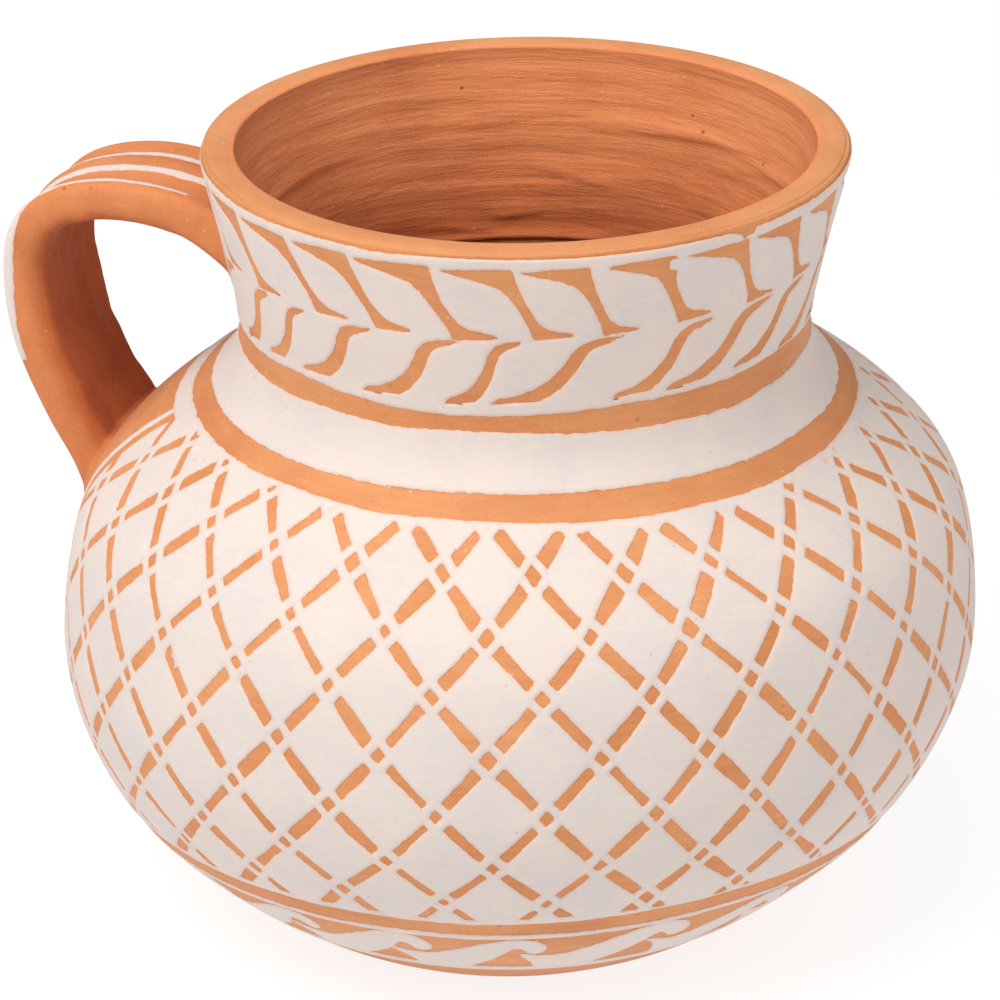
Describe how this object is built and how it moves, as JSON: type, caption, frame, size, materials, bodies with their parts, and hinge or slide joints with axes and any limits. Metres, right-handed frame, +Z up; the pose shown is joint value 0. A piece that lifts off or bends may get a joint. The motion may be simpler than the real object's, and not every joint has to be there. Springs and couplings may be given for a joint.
{
  "type": "ceramic pitcher",
  "caption": "Round-bellied red clay pitcher with a flared neck, a strap handle and painted white slip: leaves, rings, a lattice and waves.",
  "frame": {"origin": "centre of the flat base, on the pot's axis", "axes": "+Z up along the pot's axis, the handle reaches towards -X"},
  "size_m": [0.2182, 0.2034, 0.1748],
  "materials": {
    "clay": "matt burnished red clay",
    "slip": "matt white slip"
  },
  "bodies": {
    "root": {"belly": "clay", "neck_collar": "clay", "handle_strap": "clay", "handle_top_lute": "clay", "handle_foot_lute": "clay", "rim_slip_line": "slip", "leaf_slip_band": "slip", "waist_slip_line": "slip", "shoulder_slip_ring": "slip", "lattice_slip_line": "slip", "lattice_slip_field": "slip", "panel_slip_border": "slip", "wave_slip_line": "slip", "wave_slip_band": "slip", "foot_slip_line": "slip", "stripe_near": "slip", "stripe_middle": "slip", "stripe_far": "slip"}
  },
  "joints": []
}
